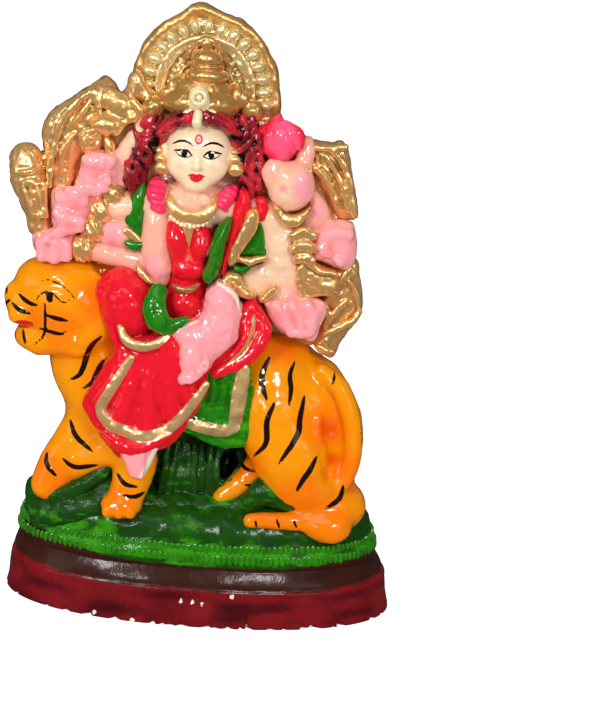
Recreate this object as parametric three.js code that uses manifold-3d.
// A painted plaster figurine: a many-armed goddess sits sideways on a tiger, cast in one piece with its plinth.
// Millimetres, +Z up. The figure faces -Y. The origin is the centre of the plinth's flat underside.

import * as THREE from "three";
import { mergeVertices } from "three/addons/utils/BufferGeometryUtils.js";
import Module from "manifold-3d";

const wasm = await Module();
wasm.setup();

// The plinth: a long oval, rounder in front than behind, measured at the underside.
const PLINTH_HALF_WIDTH = 80;
const PLINTH_FRONT = 42;
const PLINTH_BACK = 22;
const FRONT_SQUARENESS = 2.25;
const BACK_SQUARENESS = 4;
const PLINTH_STEPS = 44;
const PLINTH_SPINE_Y = (PLINTH_FRONT - PLINTH_BACK) / 2; // where the plan is widest, behind the origin

// Heights of the plinth's painted bands, and how far each band's top edge stands inside the underside.
const LOWER_BAND_HEIGHT = 14;
const LOWER_BAND_INSET = 1.5;
const BAND_LEDGE = 0.9;
const SHOULDER_HEIGHT = 9;
const SHOULDER_INSET = 5.5;
const TURF_OVERHANG = 0.8;
const TURF_HEIGHT = 11;
const TURF_INSET = 7;

// How much faster the plinth's two ends draw in with height than its front does.
const RIGHT_SLOPE_SHARE = 1.5;
const LEFT_SLOPE_SHARE = 0.85;

// The whole casting's height. The figure keeps its pose and carving as shares of its own height: the numbers in
// the functions below count such shares, from those at the turf to those at the tip, and SHARE is one of them
// in millimetres.
const CAST_HEIGHT = 245;
const SHARES_AT_TIP = 245;
const SHARES_AT_TURF = 34;
const TURF_TOP = LOWER_BAND_HEIGHT + SHOULDER_HEIGHT + TURF_HEIGHT;
const SHARE = (CAST_HEIGHT - TURF_TOP) / (SHARES_AT_TIP - SHARES_AT_TURF);

// The mound under the tiger, to the figure's scale.
const MOUND_HEIGHT = 16 * SHARE;
const MOUND_INSET = 34;
const MOUND_RINGS = 4;

// The pointed nimbus behind the crown, in the figure's shares: the centre of its round as [x, z], its radius at
// the sides, how far it swells towards the top and how fully, how far its tip stands out, the angle that the tip
// takes up and its own angle from straight up, how many lobes it has, how far they and the ring stand inside the
// edge, and the angles by which the plate runs on below them and the lobes stop short of its foot.
const NIMBUS = {
  centre: [-10.6, 206],
  side: 29.2,
  swell: 6.2,
  fullness: 1.7,
  tip: 3.59,
  tipWidth: 0.15,
  apex: -0.134,
  lobes: 15,
  lobeInset: 6.6,
  ringInset: 11.8,
  below: 0.12,
  above: 0.06,
};

// How finely the round forms are faceted.
const LIMB_SIDES = 7;
const CAP_STEPS = 2;
const SPAN_STEPS = 2;

// How many triangles the joined casting keeps, and the share of them that one pass of thinning may take.
const MOST_TRIANGLES = 9600;
const PASS_SHARE = 0.12;

// How far a face may turn while an edge shrinks, as the turn's cosine, and how small a face may become.
const LEAST_COSINE = 0.3;
const LEAST_FACE = 1e-4;

// How much an edge's length counts beside how far its shrinking moves the surface.
const LENGTH_WEIGHT = 1e-4;

// How many corners the two ends of an edge share on a plain closed surface: themselves and one at each side.
const SHARED_CORNERS = 4;

const plaster = new THREE.MeshStandardMaterial({ color: 0xd9822b, roughness: 0.25, metalness: 0.0 });

// A point of the figure, given in its shares, in the part's own frame.
function place(x, y, z) {
  return new THREE.Vector3(x * SHARE, y * SHARE, (z - SHARES_AT_TURF) * SHARE + TURF_TOP);
}

// A closed geometry as a solid that can be joined and cut.
function solidOf(geometry) {
  geometry.deleteAttribute("normal");
  geometry.deleteAttribute("uv");
  const merged = mergeVertices(geometry, 1e-4);
  const corners = merged.index.array;
  const triVerts = [];
  for (let i = 0; i < corners.length; i += 3) {
    const [a, b, c] = [corners[i], corners[i + 1], corners[i + 2]];
    if (a !== b && b !== c && c !== a) triVerts.push(a, b, c);
  }
  const vertProperties = new Float32Array(merged.attributes.position.array);
  return new wasm.Manifold(new wasm.Mesh({ numProp: 3, vertProperties, triVerts: new Uint32Array(triVerts) }));
}

// An ellipsoid about centre [x, y, z] with radii [x, y, z], its top leaning towards +X by so many degrees.
function ball(centre, radii, lean = 0, facets = 9) {
  const geometry = new THREE.SphereGeometry(1, facets, Math.max(4, Math.round(facets * 0.7)));
  geometry.rotateX(Math.PI / 2);
  geometry.scale(radii[0] * SHARE, radii[1] * SHARE, radii[2] * SHARE);
  geometry.rotateY(THREE.MathUtils.degToRad(lean));
  const at = place(...centre);
  geometry.translate(at.x, at.y, at.z);
  return solidOf(geometry);
}

// A round-ended limb along a smooth line through stations [x, y, z, radius]. Depth squeezes it front to back.
function limb(stations, depth = 1, sides = LIMB_SIDES) {
  const line = new THREE.CatmullRomCurve3(stations.map(([x, y, z]) => place(x, y, z)));
  const spans = stations.length - 1;
  const steps = stations.length > 2 ? spans * SPAN_STEPS : 1;
  const geometry = new THREE.CapsuleGeometry(1, steps, CAP_STEPS, sides, steps);
  const frames = [];
  let across = new THREE.Vector3(0.3, 1, 0.2);
  for (let i = 0; i <= steps; i++) {
    const along = line.getTangent(i / steps);
    across = across.clone().addScaledVector(along, -across.dot(along)).normalize();
    frames.push({ along, across, beside: new THREE.Vector3().crossVectors(along, across) });
  }
  const position = geometry.attributes.position;
  const point = new THREE.Vector3();
  for (let i = 0; i < position.count; i++) {
    point.fromBufferAttribute(position, i);
    const onLine = THREE.MathUtils.clamp(point.y, -steps / 2, steps / 2);
    const ring = Math.round(onLine + steps / 2);
    const share = (ring / steps) * spans;
    const station = Math.min(Math.floor(share), spans - 1);
    const [near, far] = [stations[station][3], stations[station + 1][3]];
    const radius = SHARE * THREE.MathUtils.lerp(near, far, share - station);
    const frame = frames[ring];
    const offset = frame.across.clone().multiplyScalar(point.z * radius);
    offset.addScaledVector(frame.beside, point.x * radius);
    offset.addScaledVector(frame.along, (point.y - onLine) * radius);
    offset.y *= depth;
    point.copy(line.getPoint(ring / steps)).add(offset);
    position.setXYZ(i, point.x, point.y, point.z);
  }
  return solidOf(geometry);
}

// A slab with an outline of [x, z] points, from yFront back to yBack, its edges worn off by so much.
function slab(outline, yFront, yBack, wear) {
  const shape = new THREE.Shape(outline.map(([x, z]) => new THREE.Vector2(x, z)));
  const depth = yBack - yFront - 2 * wear;
  const geometry = new THREE.ExtrudeGeometry(shape, {
    depth: depth,
    bevelEnabled: true,
    bevelThickness: wear,
    bevelSize: wear,
    bevelOffset: -wear,
    bevelSegments: 1,
  });
  geometry.rotateX(Math.PI / 2);
  geometry.translate(0, yBack - wear, -SHARES_AT_TURF);
  geometry.scale(SHARE, SHARE, SHARE);
  geometry.translate(0, 0, TURF_TOP);
  return solidOf(geometry);
}

// So many copies of a form, the maker told how far along its row each one stands, from 0 to 1.
function row(count, make) {
  return Array.from({ length: count }, (_, i) => make(count > 1 ? i / (count - 1) : 0.5, i));
}

// The plan of the plinth at an angle round it, drawn in by an inset.
function planPoint(angle, inset) {
  const [c, s] = [Math.cos(angle), Math.sin(angle)];
  const behind = s > 0;
  const power = 2 / (behind ? BACK_SQUARENESS : FRONT_SQUARENESS);
  const slope = c > 0 ? RIGHT_SLOPE_SHARE : LEFT_SLOPE_SHARE;
  const halfWidth = PLINTH_HALF_WIDTH - inset * slope;
  const reach = behind ? PLINTH_BACK - inset * (PLINTH_BACK / PLINTH_FRONT) : PLINTH_FRONT - inset;
  return [
    Math.sign(c) * halfWidth * Math.abs(c) ** power,
    PLINTH_SPINE_Y + Math.sign(s) * reach * Math.abs(s) ** power,
  ];
}

// The plinth with its two bands, the turf's edge over it and the mound on top.
function plinthAndMound() {
  const shoulderTop = LOWER_BAND_HEIGHT + SHOULDER_HEIGHT;
  const profile = [
    [0, 0],
    [LOWER_BAND_INSET, LOWER_BAND_HEIGHT],
    [LOWER_BAND_INSET + BAND_LEDGE, LOWER_BAND_HEIGHT + BAND_LEDGE],
    [(LOWER_BAND_INSET + SHOULDER_INSET) / 2, LOWER_BAND_HEIGHT + SHOULDER_HEIGHT * 0.7],
    [SHOULDER_INSET, shoulderTop],
    [SHOULDER_INSET - TURF_OVERHANG, shoulderTop + TURF_OVERHANG],
    [TURF_INSET, TURF_TOP],
  ];
  for (let i = 1; i <= MOUND_RINGS; i++) {
    const turn = (i / MOUND_RINGS) * (Math.PI / 2);
    profile.push([
      TURF_INSET + (MOUND_INSET - TURF_INSET) * (1 - Math.cos(turn)),
      TURF_TOP + MOUND_HEIGHT * Math.sin(turn),
    ]);
  }
  const lathe = [new THREE.Vector2(0, 0), ...profile.map((_, i) => new THREE.Vector2(1, i)),
    new THREE.Vector2(0, profile.length - 1)];
  const geometry = new THREE.LatheGeometry(lathe, PLINTH_STEPS);
  const position = geometry.attributes.position;
  for (let i = 0; i < position.count; i++) {
    const [inset, height] = profile[Math.round(position.getY(i))];
    const onAxis = Math.hypot(position.getX(i), position.getZ(i)) < 0.5;
    const angle = Math.atan2(position.getX(i), position.getZ(i));
    const [x, y] = onAxis ? [0, PLINTH_SPINE_Y] : planPoint(angle, inset);
    position.setXYZ(i, x, y, height);
  }
  return [solidOf(geometry)];
}

// The turf that fills the space under the tiger and heaps up between its feet.
function turfHeaps() {
  return [
    ball([-4, 6, 56], [27, 13, 20]),
    limb([[-34, 12, 58, 11], [-6, 13, 62, 13], [24, 12, 58, 11]], 0.9, 8),
    limb([[-64, -4, 44, 9], [-50, -2, 52, 10], [-38, 2, 60, 11]], 1.1),
    limb([[-69, -14, 41.4, 4.2], [-58.9, -15, 46, 4.6], [-45.7, -15, 54.2, 4.4], [-38, -14, 59.8, 4]], 1, 6),
    limb([[17.7, -13, 46.7, 4.5], [25.3, -14, 54, 6.5], [35.3, -14, 50.5, 5]], 1, 6),
    ball([38, 8, 50], [24, 16, 16]),
    ...row(6, (t) => limb([[-15 + 25 * t, -7, 49, 2], [-14 + 22 * t, -6.5, 68, 1.8]], 1, 5)),
  ];
}

// The tiger's trunk, neck and rump.
function tigerTrunk() {
  return [
    limb([[-41, 3, 87, 16], [-20, 4, 92, 19], [14, 4, 94, 19], [32, 3, 88, 21]], 0.95, 10),
    ball([39.6, 3, 76], [22.8, 20, 32], -14, 12),
    ball([23, 1, 103], [19, 14, 14.5], 12, 9),
    limb([[-43.4, 1, 84, 14.2], [-49.6, 0, 98, 15.2], [-52, 0, 122, 17]], 0.95, 9),
    limb([[-56, -4, 98, 9], [-47.4, -6, 84, 10.3]], 1),
  ];
}

// The tiger's head in profile: skull, brow, muzzle, parted lips and chin.
function tigerHead() {
  return [
    ball([-59, -4, 124], [19.4, 17.5, 18.3], -14, 12),
    ball([-71.3, -5, 131.8], [10.8, 11, 9.2], -34),
    limb([[-68, -6, 126, 9.4], [-76.8, -6, 123.2, 8.1]], 1),
    ball([-81.2, -6, 126.4], [4.1, 4.5, 4], 0, 7),
    ball([-77, -12.4, 118.2], [5.6, 4, 4], 10, 7),
    ball([-72.6, -6, 110], [7.8, 8.5, 6.3], -16),
    limb([[-69, -9, 108.6, 6.3], [-54, -14, 111, 7]], 1),
    ball([-65.5, -16.2, 128.8], [4.8, 3.3, 3.4], -12, 7),
    limb([[-71, -14.6, 133, 2.3], [-63, -15.8, 135.8, 2.7], [-55, -15, 131, 2.2]], 1, 5),
    ball([-46, 1, 137], [8, 7, 8], 20, 7),
    ball([-49.5, -11, 117], [9, 8, 9], 0, 8),
  ];
}

// The near and far legs, with the hind leg folded so that its foot lies along the ground.
function tigerLegs() {
  return [
    limb([[-45, -2, 85, 12.5], [-53.4, -6, 69, 8.9], [-61.4, -9, 57, 6.9], [-64.6, -11, 47, 6.6]], 0.9, 8),
    limb([[-36, -9, 84, 13], [-31.5, -16, 64, 9.5], [-33.5, -19.5, 51, 7.6], [-35, -20.5, 46, 7.2]], 0.95, 8),
    ball([-36.5, -23.6, 44.3], [8.5, 6.3, 5], 0, 9),
    ...row(3, (t) => ball([-41.3 + 9.3 * t, -27.6 + Math.abs(t - 0.5), 42.8], [2.6, 3, 3], 0, 6)),
    limb([[23, -8, 98, 12], [26, -12, 82, 15], [36, -14, 64, 14.5], [46, -12, 52, 10]], 0.8, 9),
    ball([54, -6, 47], [12, 13, 10.5], 0, 9),
    limb([[54, -15, 44, 6.2], [40, -18, 43.5, 5], [28, -19.5, 43.2, 4.5], [19, -20, 42.4, 3.7]], 1, 7),
    limb([[26, -3, 68, 9], [19, -7, 58, 6], [6.5, -11, 48.5, 3.4]], 1),
    limb([[-44, 14, 84, 12], [-46, 18, 62, 9], [-50, 17, 48, 7]], 1),
    limb([[34, 14, 80, 14], [42, 17, 60, 11], [30, 18, 46, 6]], 1),
  ];
}

// The tail, laid down the back of the rump with its tip curled in the hollow of the thigh.
function tigerTail() {
  return [
    limb([[43.2, -9, 103.5, 3.6], [50.8, -12, 97.5, 4], [55.4, -14, 85.9, 4], [56.8, -14.5, 73.5, 3.8],
      [51.8, -15, 56.3, 2.8]], 1, 6),
    limb([[42.8, -16, 86.4, 1.6], [43.1, -17.5, 77.6, 2.3], [46.7, -17, 68.5, 1.8]], 1, 5),
  ];
}

// The saddle cloth that hangs over the tiger's near flank, with its raised border.
function saddleCloth() {
  const cloth = [[-13, 78], [-3, 74.5], [7, 71.5], [14, 73], [17, 79], [16.5, 92], [15.5, 102], [11, 107],
    [-12, 104]];
  return [
    slab(cloth, -20.6, -6, 1.8),
    limb([[12.4, -20, 104.5, 2.2], [11.4, -20.6, 91, 2.2], [10.6, -20.6, 81.5, 2.2]], 0.7, 5),
    limb([[10.6, -20.6, 81.5, 2.2], [-1.5, -20.6, 80.4, 2.2], [-8, -20.6, 81.9, 2]], 0.7, 5),
  ];
}

// The skirt over the hanging leg: knee, bell, folds that fan down from the knee, the borders and the foot.
function hangingSkirt() {
  const bell = [[-43, 118], [-40.5, 110], [-51, 93.5], [-49.5, 87], [-43, 79], [-36, 73], [-29, 70],
    [-22, 72.5], [-15, 77], [-8, 84.5], [-3, 92], [-2, 100], [-12, 114], [-24, 122]];
  const shawl = [[-49, 133.5], [-42.3, 140.1], [-34, 138.7], [-28.8, 132.2], [-26.3, 117], [-33.6, 107.4],
    [-39.1, 106.1], [-43.8, 118.9], [-48.6, 127.5]];
  const folds = [[-34, 109.4, -44.6, 89.5], [-29.1, 110.6, -36.2, 80.2], [-24.4, 110.9, -25, 78.5],
    [-20.5, 111.2, -15.3, 86.7], [-17.7, 110.6, -8.6, 93]];
  return [
    slab(bell, -23.6, -6, 3.2),
    slab(shawl.reverse(), -17.6, -4, 3.2),
    ball([-35.4, -14.4, 131], [11.3, 12.8, 17.4], -24, 10),
    ball([-39, -8, 126], [9.5, 12, 14], 0, 8),
    ...folds.map(([xTop, zTop, xHem, zHem]) => limb([[xTop, -21.5, zTop, 2.4], [xHem, -23.2, zHem, 3]], 1, 6)),
    limb([[-37.7, -24, 119.9, 1.8], [-33.4, -25.6, 114.7, 2.1], [-25.5, -25.2, 113.5, 2.1],
      [-19.2, -23.4, 117.5, 1.7]], 0.8, 5),
    limb([[-32.7, -24, 107.9, 1.6], [-40.8, -24.4, 92.6, 1.9], [-43.2, -24.6, 86.3, 2.1],
      [-33.2, -24.8, 77.9, 2.3], [-26, -24.8, 76, 2.2], [-11.9, -24.6, 84.5, 2.1],
      [-2.7, -24, 99.6, 1.7]], 0.8, 5),
    limb([[-29.5, -15.4, 80, 7.6], [-29.2, -17.6, 70, 7.2], [-28.2, -19.8, 64.5, 5.7], [-27, -21, 61, 3.3]], 1),
  ];
}

// The lap: the drape round the folded leg, and the bare shin and foot that lie across it.
function lapAndFoldedLeg() {
  const leg = [[-0.9, 140.3], [7.4, 134.2], [9.4, 128.3], [7.8, 116.9], [1, 109], [-3, 103.4], [-7.1, 99.8],
    [-11.4, 100.7], [-14.4, 103.4], [-14.5, 111.5], [-16.1, 117.1], [-18.9, 118.5], [-13.3, 122.1], [-8, 124.6],
    [-4.5, 130.9], [-5.2, 135.6]];
  const drape = [[13.7, 133], [20.7, 123.7], [22.2, 119.8], [20.7, 113.1], [12.6, 105.1], [4.9, 101.2],
    [-3.5, 97.3], [-7, 102], [-6.6, 119.2], [1.5, 128], [9.2, 130.2]];
  return [
    ball([-5, -8, 116], [17, 11, 18], 0, 10),
    slab(drape, -19.8, -6, 2.4),
    limb([[16.9, -18, 127, 2.3], [18.6, -19.5, 120.2, 3], [15.5, -20.5, 113.7, 2.8], [10, -21, 108.5, 2.6],
      [0.9, -21.5, 103, 2.2]], 1, 6),
    limb([[12, -19, 127, 1.6], [11.6, -20.8, 119.5, 2], [8, -22, 113.6, 1.8]], 1, 5),
    slab(leg, -26.4, -13, 1.6),
    ball([1.5, -22.6, 131.6], [6.2, 5.8, 6.2], 0, 8),
    ball([0.7, -23.2, 122.4], [7, 6.2, 6.6], 0, 8),
    ball([-10, -24.8, 108.8], [5.8, 5, 8], 14, 8),
    ...row(4, (t) => ball([-11.8 + 8.2 * t, -27.6, 101.7 + 5.9 * t * t], [2.2, 2.6, 2.8], 20, 6)),
  ];
}

// The trunk: bodice, waist, belly and belt, and the shoulders.
function torso() {
  return [
    limb([[-27.5, -8, 167, 6.4], [-13.5, -7, 168, 8.4], [1, -8, 167, 6.6]], 1, 7),
    limb([[-14.4, -7, 158, 10.2], [-14, -8, 148, 8.2], [-13.5, -8, 139, 7.6], [-13, -8, 128, 10]], 0.95, 9),
    ball([-18.9, -13.2, 155.4], [4.8, 4.7, 5.8], 0, 8),
    ball([-8.2, -13.2, 156], [4.8, 4.7, 5.8], 0, 8),
    ball([-13.6, -13.2, 144.6], [6.2, 4.2, 5], 0, 7),
    ball([-13.2, -14, 127.8], [6.8, 5.6, 7.4], 0, 7),
    ball([-11, 4, 158], [30, 9.8, 44], 0, 12),
    ball([-8, 4, 124], [26, 12.8, 22], 0, 10),
    limb([[-12.5, -6, 176, 6.6], [-12.8, -7, 166, 7.8]], 1),
  ];
}

// Sashes, staff and garlands that lie over the chest and lap.
function sashes() {
  return [
    limb([[0.5, -16.6, 163.1, 2.4], [-1.2, -19, 154.8, 3.1], [-3.3, -19.4, 145.9, 3.3],
      [-5.2, -19, 139.7, 2.7]], 1, 6),
    limb([[6.4, -14, 172.6, 2], [4.4, -16.5, 163.4, 2.3], [0.2, -17.2, 145.7, 1.8]], 1, 5),
    limb([[10.7, -13.6, 167.7, 2.6], [5.1, -17.6, 153.7, 2.7], [3.2, -17.6, 147.6, 2.2]], 0.8, 5),
    limb([[-23.8, -23, 134.4, 3.4], [-24.6, -24.6, 129.5, 3.9], [-23.1, -25.4, 124.6, 4],
      [-17.9, -25.2, 122.5, 3], [-12.6, -24.4, 124.7, 1.7]], 1, 7),
    limb([[-21.7, -12.5, 172.5, 2], [-20.9, -15.5, 167.6, 2.1], [-13.5, -17.8, 163.5, 2.2],
      [-5.7, -15.5, 168, 2.1], [-5.3, -12.5, 173, 2]], 1, 5),
    ball([-27.5, -12.6, 169.2], [4.3, 4.2, 7.4], 4, 7),
    ball([1, -12.6, 170.6], [5, 4.4, 5], -30, 7),
    slab([[15.1, 161.5], [16.6, 156.8], [16.2, 151.9], [11, 147.9], [6.2, 147.9], [9, 153]], -10.4, 4, 2.2),
    slab([[-31.5, 171.3], [-30, 162.2], [-30.6, 152.1], [-35, 152.6], [-39.1, 154.7], [-39.5, 161.9],
      [-36.8, 168.5]].reverse(), -13.4, 0, 2.4),
  ];
}

// A fist: a palm with curled fingers across it. The fingers run the way that turn says, in degrees from +X.
function fist(centre, radii, turn, fingers = 4) {
  const [x, y, z] = centre;
  const [c, s] = [Math.cos(THREE.MathUtils.degToRad(turn)), Math.sin(THREE.MathUtils.degToRad(turn))];
  const long = radii[0] * 0.42;
  const front = y - radii[1] * 0.62;
  return [
    ball(centre, radii, 0, 8),
    ...row(fingers, (t) => {
      const off = (t - 0.5) * 1.3 * radii[2];
      const [mx, mz] = [x - s * off, z + c * off];
      const r = radii[2] * 0.29;
      return limb([[mx - c * long, front, mz - s * long, r], [mx + c * long, front, mz + s * long, r]], 1, 5);
    }),
  ];
}

// A ring round a wrist or arm at a point, leaning by so many degrees.
function cuff(centre, radius, width, lean) {
  return ball(centre, [radius, radius * 0.95, width], lean, 8);
}

// The web of plaster behind the arms and what they hold, which keeps the casting in one piece.
function webBehindTheArms() {
  const left = [[-20, 203], [-34, 205], [-46, 205], [-54, 208], [-61, 203], [-67, 195], [-71, 184], [-78, 179],
    [-80, 169], [-74, 152], [-69, 142], [-40, 134], [-14, 134]];
  const right = [[-8, 202], [8, 201], [22, 198], [31, 191], [42, 191], [47, 180], [48, 164], [49, 148],
    [54, 141], [53, 130], [48, 119], [39, 112], [8, 110], [-10, 134]];
  return [slab(left, -3, 8.5, 3), slab(right, -3, 8.5, 3)];
}

// The arms at the goddess's right hand, which is the viewer's left.
function armsOnTheLeft() {
  return [
    limb([[-27.1, -9, 169.8, 4.8], [-26.8, -12, 160.1, 5], [-24.4, -13, 142, 4.8]], 1),
    limb([[-24.8, -12, 141, 4.6], [-30.5, -10.5, 143.4, 5.4], [-37, -9, 145, 5.6], [-51.2, -9, 146.4, 4.6]], 1),
    limb([[-32.5, -8, 148.4, 5], [-39.9, -8, 152.7, 5.4], [-53.5, -9, 159.8, 4.4]], 1),
    limb([[-36.3, -7, 157.5, 4.8], [-40.5, -7.5, 162.9, 4.8], [-47.9, -9, 171.4, 4.2]], 1),
    limb([[-33.3, -8, 198.8, 2.9], [-39.6, -7.5, 187.6, 3.7], [-42.7, -7, 173, 3]], 1),
    cuff([-45.1, -8.5, 168.4], 5.4, 2.4, -35),
    cuff([-49, -8.8, 162.1], 5.5, 2.8, -62),
    cuff([-51.3, -8.8, 155.2], 5.7, 3, -66),
    cuff([-55.2, -9, 147.3], 6, 2.8, -84),
    ...fist([-50.4, -9.5, 176.6], [7.2, 6.4, 9.6], 20, 3),
    ...fist([-59.8, -10, 161.8], [8.6, 6.6, 9.4], 30),
    ...fist([-66.2, -9, 147.8], [8.9, 6.4, 7.6], 60),
  ];
}

// What those hands hold: a fluted club, a broad curved blade, a discus and a ringed hilt.
function armsHeldOnTheLeft() {
  const blade = [[-71.3, 175.7], [-73.2, 185], [-73.2, 192.9], [-69.6, 199.3], [-62.7, 204.3], [-56, 209.4],
    [-50.4, 213.4], [-46.7, 210.9], [-43.8, 207.8], [-40.6, 212.6], [-37.7, 214.7], [-35.7, 209.2],
    [-38.4, 201.9], [-45.9, 196.6], [-51.7, 188.3], [-56.9, 183.9], [-59.7, 177.4], [-60, 169.8], [-69.4, 169]];
  return [
    limb([[-79.3, -3, 179.2, 6.6], [-78.1, -4, 172.9, 6.9], [-75.8, -4, 165.5, 6], [-72.5, -4, 153.7, 4.6]],
      0.85, 8),
    ...row(3, (t) => limb([[-81.4 + 7 * t, -8.4, 168.6, 1.3], [-77 + 4.8 * t, -7.6, 156.5, 1]], 1, 5)),
    limb([[-84.4, -6, 174.4, 1.2], [-71.6, -6.5, 175.8, 1.2]], 1, 5),
    slab(blade.reverse(), -7, 4, 1.8),
    limb([[-69.1, -8, 170.3, 1.2], [-69.4, -9, 177.4, 1.5], [-66.1, -9.4, 195.8, 1.8],
      [-60.7, -9.4, 203.6, 1.8], [-54, -8, 209.2, 1.4]], 1, 5),
    ball([-48.4, -7.4, 197.1], [7, 5.2, 5.2], 0, 8),
    ball([-46.4, -8, 204.4], [7, 4.6, 3.6], 8, 7),
    ball([-54.5, -7.6, 189.2], [4.6, 4.4, 5], 0, 7),
    limb([[-40.6, -7.5, 205.6, 2.6], [-36, -7.5, 204.6, 2.8]], 1, 5),
    limb([[-36.6, -3, 213, 3.4], [-35, -3, 208, 3.6], [-31.6, -3, 205.6, 3]], 1, 6),
  ];
}

// The arms at the goddess's left hand, which is the viewer's right.
function armsOnTheRight() {
  const elbow = [[6.7, 151.6], [17.6, 154.8], [30.7, 149.3], [33, 131.5], [19.8, 125.6], [10.7, 129.8],
    [5.1, 140.9]];
  return [
    limb([[2.2, -6, 169.9, 5.4], [10.3, -6, 167.4, 6], [17, -8, 162.6, 7], [21.4, -10, 156.2, 7.6],
      [23.8, -10, 135.3, 7.4]], 1, 8),
    slab(elbow.reverse(), -10.4, 0, 4),
    limb([[23.8, -8, 155.9, 5.6], [29.4, -9.5, 163.9, 6], [35.2, -9.5, 170, 5.6], [38.6, -9, 176.5, 4.4]], 1),
    limb([[26.9, -8, 147.3, 5.4], [38.9, -8, 154.7, 5]], 1),
    ball([23.6, -11.5, 178.2], [9.2, 7.6, 9.8], 0, 10),
    ball([18.4, -14, 183.8], [4.8, 4.5, 4.8], 0, 7),
    ball([17.6, -4.4, 155.4], [4.6, 3.4, 4.6], 0, 7),
    limb([[28.3, -9, 187.6, 3.5], [30, -8.5, 195.5, 2.8]], 1, 6),
    limb([[18.2, -13, 171.7, 1.4], [20.8, -16.5, 167.9, 2.4], [25.6, -17.5, 166.4, 2.8],
      [30.2, -15, 167.9, 2.4], [32.4, -12, 170.2, 1.4]], 1, 5),
    ...row(3, (t) => ball([30.4 + 0.8 * t, -12.4, 160.5 - 9.9 * t], [4.4, 3.6, 2.6], 0, 7)),
    ...fist([43.6, -8.5, 155.1], [9.2, 6.8, 9.6], 70, 3),
    ...fist([29.4, -12.5, 124.5], [12.8, 6.9, 9.4], 65),
    slab([[-1, 140], [3.6, 141.6], [7.6, 140.3], [13.2, 134.2], [9.4, 131.9], [4.1, 134.7]], -19.4, -9, 1.6),
    slab([[15.7, 132.8], [18.1, 137], [22.3, 138.6], [21.5, 134.4], [17.8, 131.3]], -18.6, -9, 1.2),
  ];
}

// What those hands hold: a lotus bud, a folded bow and a fluted axe head.
function armsHeldOnTheRight() {
  const lotus = [[8.8, 197.8], [13.3, 200.1], [20.4, 203.6], [25.3, 200.6], [29.2, 196.6], [27.6, 191.3],
    [24, 187.9], [17.5, 185.4], [13.3, 189.4]];
  const bow = [[32.6, 194.6], [35.4, 194.1], [40.1, 194], [43.1, 195.4], [46.1, 192.7], [50.3, 176.7],
    [52.4, 165.8], [46.2, 164.6], [39.1, 173.8], [35.1, 179.1], [32.2, 185.3]];
  const axe = [[29.4, 146], [34.9, 147], [41.1, 143.8], [48, 147.6], [52.3, 147.4], [55, 143.9], [57.2, 130.9],
    [55.4, 124.2], [47.1, 111.3], [42.7, 111], [41.3, 117.7], [42.9, 127.3], [37.9, 130.2], [32.3, 130.2],
    [29.7, 137.4]];
  return [
    slab(lotus, -13, -3, 3.4),
    ball([18.4, -10, 194.2], [7.4, 7.2, 7.8], 14, 9),
    ball([24, -9.4, 196], [5.6, 6.2, 7.2], -14, 8),
    slab(bow, -6.4, 4, 1.8),
    limb([[40.5, -7.6, 192, 1.4], [48, -8.4, 178.6, 1.9], [50.2, -7.6, 168.2, 1.5]], 1, 5),
    limb([[34, -7.6, 187.6, 1.4], [41.6, -8.2, 176, 1.9], [45.4, -7.6, 169.6, 1.5]], 1, 5),
    slab(axe, -8.4, 3, 2),
    limb([[53.7, -9.6, 143.7, 1.5], [45.6, -10.4, 132.5, 1.9], [44.5, -9.6, 125.8, 1.5]], 1, 5),
    limb([[55.4, -9.6, 137.4, 1.5], [48.6, -10.4, 124.5, 1.9], [45, -9.6, 117.4, 1.5]], 1, 5),
    limb([[51.4, -9.6, 146, 1.5], [41, -10.4, 139.5, 1.9], [36.2, -9.6, 139.9, 1.5]], 1, 5),
  ];
}

// The head: skull, cheeks, chin, a small nose and lips, and the ears with their ornaments.
function head() {
  const [x, y, z] = [-12.2, -9, 188.5];
  return [
    ball([x, y, z + 1.5], [12.6, 11.6, 13], 0, 14),
    ball([x, y - 1.2, z - 4.4], [10.8, 9.9, 9.8], 0, 12),
    ball([x, y - 7.4, z - 11.4], [4, 2.8, 2.7], 0, 7),
    limb([[x, y - 10.8, z + 3, 0.9], [x, y - 12.2, z - 3.2, 1.5]], 1, 6),
    limb([[x - 2.6, y - 9.8, z - 7.4, 0.9], [x, y - 10.6, z - 7.4, 1.2], [x + 2.6, y - 9.8, z - 7.4, 0.9]],
      1, 6),
    ...[-1, 1].flatMap((side) => [
      ball([x + side * 4.9, y - 8.9, z + 1.4], [3.1, 1.9, 2], 0, 7),
      ball([x + side * 12.6, y - 1.6, z], [1.8, 3.2, 4], side * 8, 7),
      ball([x + side * 14, y - 3.6, z - 8.5], [2.4, 2.4, 6.4], side * 2, 7),
    ]),
  ];
}

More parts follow.
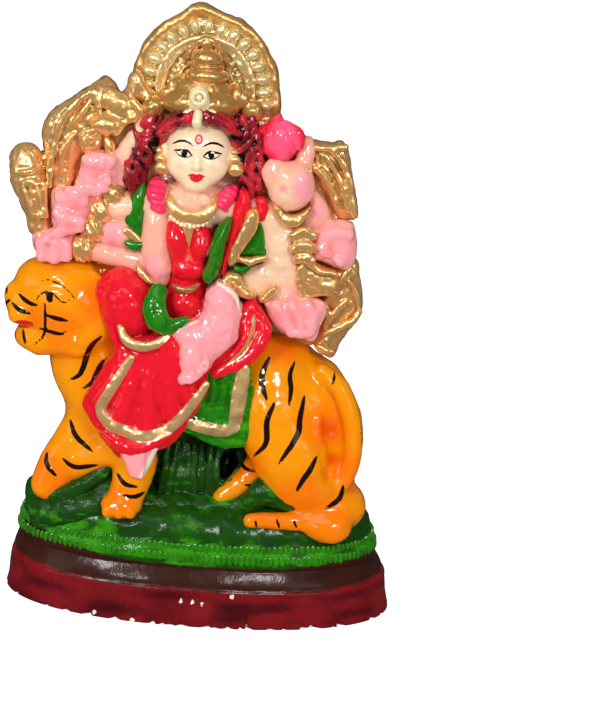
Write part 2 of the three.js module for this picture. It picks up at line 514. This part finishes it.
// The loose hair at both sides of the face, in locks, and the fall down the back.
function hair() {
  return [
    limb([[-26, -2.6, 201, 5.6], [-30.5, -2.6, 189, 6.5], [-32, -3.2, 176, 6], [-32.5, -4, 165, 4]], 1.05, 7),
    limb([[2, -2.6, 201, 5.6], [9, -2.6, 190, 7.1], [12, -3.2, 178, 6.9], [10.5, -4, 168, 4.6]], 1.05, 7),
    ...row(4, (t) => limb([[-27.5 - 3 * t, -8.8, 196 - 8 * t, 2.4], [-33 - 1.5 * t, -8.8, 186 - 8 * t, 2.6],
      [-31 - 2 * t, -8.8, 178 - 6 * t, 1.8]], 1, 5)),
    ...row(5, (t) => limb([[4 + 6 * t, -8.8, 196 - 9 * t, 2.4], [12 + 2 * t, -8.8, 188 - 8 * t, 2.6],
      [9 - 2 * t, -9.2, 179 - 7 * t, 2]], 1, 5)),
    limb([[-26.8, -9.6, 196.2, 2.8], [-20.8, -15, 202.2, 2.6], [-12.8, -17.6, 204.4, 2.4],
      [-5.1, -15, 203.2, 2.6], [1.8, -9.6, 197.7, 2.8]], 1, 6),
    ball([-12, 4, 192], [22, 8.8, 24], 0, 10),
  ];
}

// The crown: a rounded cap, a band along the brow, two swelling tiers and a leaf tip, with a plaque in front.
function crown() {
  const [x, y] = [-12.2, -6];
  return [
    ball([x, y, 206.5], [16.2, 12.3, 8.6], 0, 12),
    ball([x, y + 1, 212], [12.8, 9.8, 7.2], 0, 10),
    ball([x + 1.3, -8.3, 218.2], [8.8, 6.6, 3.5], 0, 10),
    ball([x + 1.4, -7.6, 215], [7.6, 6, 2.2], 0, 9),
    ball([x + 0.8, -8, 225], [6.2, 5.6, 3.8], 0, 9),
    limb([[x + 0.4, -6.6, 227.5, 2.6], [x + 0.3, -5, 231.2, 1.5]], 1, 7),
    slab([[-17, 207], [-16.6, 212.6], [-13.2, 216], [-9.8, 212.6], [-9.4, 207]].reverse(), -19, -10, 1.4),
    limb([[x - 1, -18.6, 205, 1.4], [x - 1, -19.6, 201.6, 1.8]], 1, 6),
    ...[-1, 1].flatMap((side) => [
      ball([x + 0.6 + side * 19.4, -7, 205], [4.6, 4.7, 4.7], 0, 9),
      limb([[x + 1 + side * 13, -8.6, 208.6, 1.7], [x + 1 + side * 12, -9.6, 211.4, 2.3],
        [x + 1 + side * 9.4, -7.4, 216.4, 1.2]], 1, 6),
    ]),
  ];
}

// A point of the nimbus's outline, drawn in by an inset, at an angle from straight up.
function nimbusPoint(angle, inset) {
  const off = angle - NIMBUS.apex;
  const swell = NIMBUS.swell * Math.max(0, Math.cos(off)) ** NIMBUS.fullness;
  const tip = NIMBUS.tip * Math.exp(-((off / NIMBUS.tipWidth) ** 2));
  const radius = NIMBUS.side + swell + tip - inset;
  const [x, z] = NIMBUS.centre;
  return [x + radius * Math.sin(angle), z + radius * Math.cos(angle)];
}

// The nimbus: a plate, a raised ring and a rim of lobes.
function nimbus() {
  const [low, high] = [Math.PI / 2 + NIMBUS.below, Math.PI / 2 - NIMBUS.above];
  const outline = row(25, (t) => nimbusPoint((2 * t - 1) * low, 0));
  outline.push([8, 192], [-30, 192]);
  const ring = row(7, (t) => {
    const [x, z] = nimbusPoint((2 * t - 1) * high, NIMBUS.ringInset);
    return [x, -0.2, z, 1.8];
  });
  return [
    slab(outline.reverse(), 0.4, 8, 2),
    limb(ring, 1, 5),
    ...row(NIMBUS.lobes, (t) => {
      const angle = (2 * t - 1) * high;
      const [x, z] = nimbusPoint(angle, NIMBUS.lobeInset);
      return ball([x, -0.2, z], [2.3, 2.4, 3.2], THREE.MathUtils.radToDeg(angle), 6);
    }),
  ];
}

// The corners of each triangle round a vertex, for every vertex of a list of triangles.
function trianglesRound(triangles) {
  const round = new Map();
  for (const triangle of triangles) {
    for (const corner of triangle) {
      if (!round.has(corner)) round.set(corner, []);
      round.get(corner).push(triangle);
    }
  }
  return round;
}

// The normal of a triangle, as long as twice its area.
function normalOf([a, b, c], points) {
  return new THREE.Vector3().subVectors(points[b], points[a])
    .cross(new THREE.Vector3().subVectors(points[c], points[a]));
}

// How far, squared and weighed by area, a point would stand off the faces round a vertex.
function departure(point, faces, points) {
  let sum = 0;
  for (const face of faces) {
    const normal = normalOf(face, points);
    const area = normal.length();
    if (area > 1e-9) sum += normal.dot(new THREE.Vector3().subVectors(point, points[face[0]])) ** 2 / area;
  }
  return sum;
}

// Whether a vertex may move to a point without folding a face that keeps it over.
function staysOpen(vertex, other, point, faces, points) {
  return faces.every((face) => {
    if (face.includes(other)) return true;
    const before = normalOf(face, points);
    const kept = points[vertex];
    points[vertex] = point;
    const after = normalOf(face, points);
    points[vertex] = kept;
    const level = after.dot(before) > LEAST_COSINE * after.length() * before.length();
    return after.length() > LEAST_FACE && level;
  });
}

// The edges of a closed surface that can shrink to a point, the least missed first: [cost, a, b, point].
function shrinkableEdges(triangles, round, points) {
  const edges = [];
  for (const [p, q, r] of triangles) {
    for (const [a, b] of [[p, q], [q, r], [r, p]]) {
      if (a > b) continue;
      const middle = new THREE.Vector3().addVectors(points[a], points[b]).multiplyScalar(0.5);
      const length = points[a].distanceTo(points[b]);
      const [cost, point] = [points[a], points[b], middle]
        .map((at) => [departure(at, round.get(a), points) + departure(at, round.get(b), points), at.clone()])
        .sort((one, two) => one[0] - two[0])[0];
      edges.push([cost + LENGTH_WEIGHT * length ** 2, a, b, point]);
    }
  }
  return edges.sort((one, two) => one[0] - two[0]);
}

// A joined solid with its least needed edges shrunk to points until few enough triangles are left.
function thinned(solid, mostTriangles) {
  const mesh = solid.getMesh();
  const flat = mesh.vertProperties;
  const points = Array.from({ length: flat.length / 3 }, (_, i) => new THREE.Vector3().fromArray(flat, 3 * i));
  const corners = mesh.triVerts;
  let triangles = Array.from({ length: corners.length / 3 }, (_, i) => [...corners.slice(3 * i, 3 * i + 3)]);
  while (triangles.length > mostTriangles) {
    const round = trianglesRound(triangles);
    const edges = shrinkableEdges(triangles, round, points);
    const busy = new Set();
    let left = Math.min(triangles.length - mostTriangles, triangles.length * PASS_SHARE);
    for (const [, a, b, point] of edges) {
      if (left <= 0) break;
      const [nearA, nearB] = [a, b].map((v) => new Set(round.get(v).flat()));
      if ([...nearA, ...nearB].some((v) => busy.has(v))) continue;
      if ([...nearA].filter((v) => nearB.has(v)).length !== SHARED_CORNERS) continue;
      if (!staysOpen(a, b, point, round.get(a), points)) continue;
      if (!staysOpen(b, a, point, round.get(b), points)) continue;
      points[a] = point;
      for (const face of round.get(b)) face[face.indexOf(b)] = a;
      for (const v of [...nearA, ...nearB]) busy.add(v);
      left -= 2;
    }
    const kept = triangles.filter(([p, q, r]) => p !== q && q !== r && r !== p);
    if (kept.length === triangles.length) break;
    triangles = kept;
  }
  const used = [...new Set(triangles.flat())];
  const number = new Map(used.map((v, i) => [v, i]));
  return new wasm.Manifold(new wasm.Mesh({
    numProp: 3,
    vertProperties: new Float32Array(used.flatMap((v) => points[v].toArray())),
    triVerts: new Uint32Array(triangles.flat().map((v) => number.get(v))),
  }));
}

const pieces = [
  ...plinthAndMound(), ...turfHeaps(), ...tigerTrunk(), ...tigerHead(), ...tigerLegs(), ...tigerTail(),
  ...saddleCloth(), ...hangingSkirt(), ...lapAndFoldedLeg(), ...torso(), ...sashes(), ...webBehindTheArms(),
  ...armsOnTheLeft(), ...armsHeldOnTheLeft(), ...armsOnTheRight(), ...armsHeldOnTheRight(), ...head(),
  ...hair(), ...crown(), ...nimbus(),
];
const cast = thinned(pieces.reduce((whole, piece) => whole.add(piece)), MOST_TRIANGLES);

// The joined solid as a named mesh.
function meshOf(name, solid) {
  const { vertProperties, triVerts } = solid.getMesh();
  const geometry = new THREE.BufferGeometry();
  geometry.setAttribute("position", new THREE.BufferAttribute(vertProperties, 3));
  geometry.setIndex(new THREE.BufferAttribute(triVerts, 1));
  const mesh = new THREE.Mesh(geometry, plaster);
  mesh.name = name;
  return mesh;
}

const figurine = new THREE.Group();
figurine.add(meshOf("goddess_on_tiger", cast));

export default figurine;
